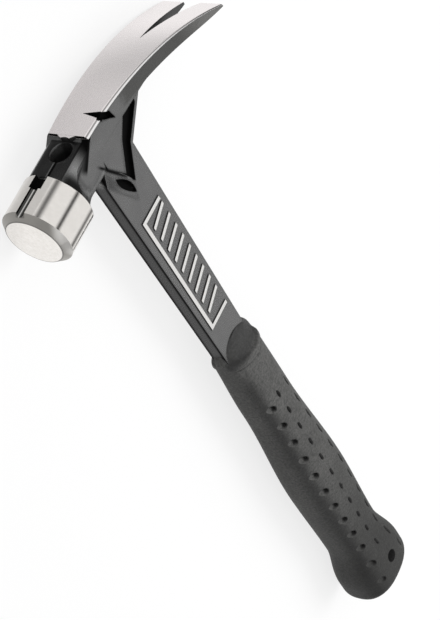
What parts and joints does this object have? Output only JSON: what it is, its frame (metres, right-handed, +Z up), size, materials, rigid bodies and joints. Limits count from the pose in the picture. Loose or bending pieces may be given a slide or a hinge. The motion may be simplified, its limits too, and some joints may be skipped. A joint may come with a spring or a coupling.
{
  "type": "framing hammer",
  "caption": "One-piece forged framing hammer with a long curved claw, magnetic nail starter, flat shank and rubber grip with a lanyard hole.",
  "frame": {"origin": "centre of the box's underside, with the hammer lying on its side as on a bench", "axes": "+Y along the handle from the butt to the head, +X from the striking face to the claw, +Z up through the side of the head"},
  "size_m": [0.1396, 0.3627, 0.031],
  "materials": {
    "forged_steel": "polished poll and claw, dark grey coat on the neck and shank",
    "magnet": "nickel plated",
    "grip_rubber": "matt moulded rubber with dimples"
  },
  "bodies": {
    "root": {"steel_forging": "forged_steel", "nail_magnet": "magnet", "grip": "grip_rubber"}
  },
  "joints": []
}
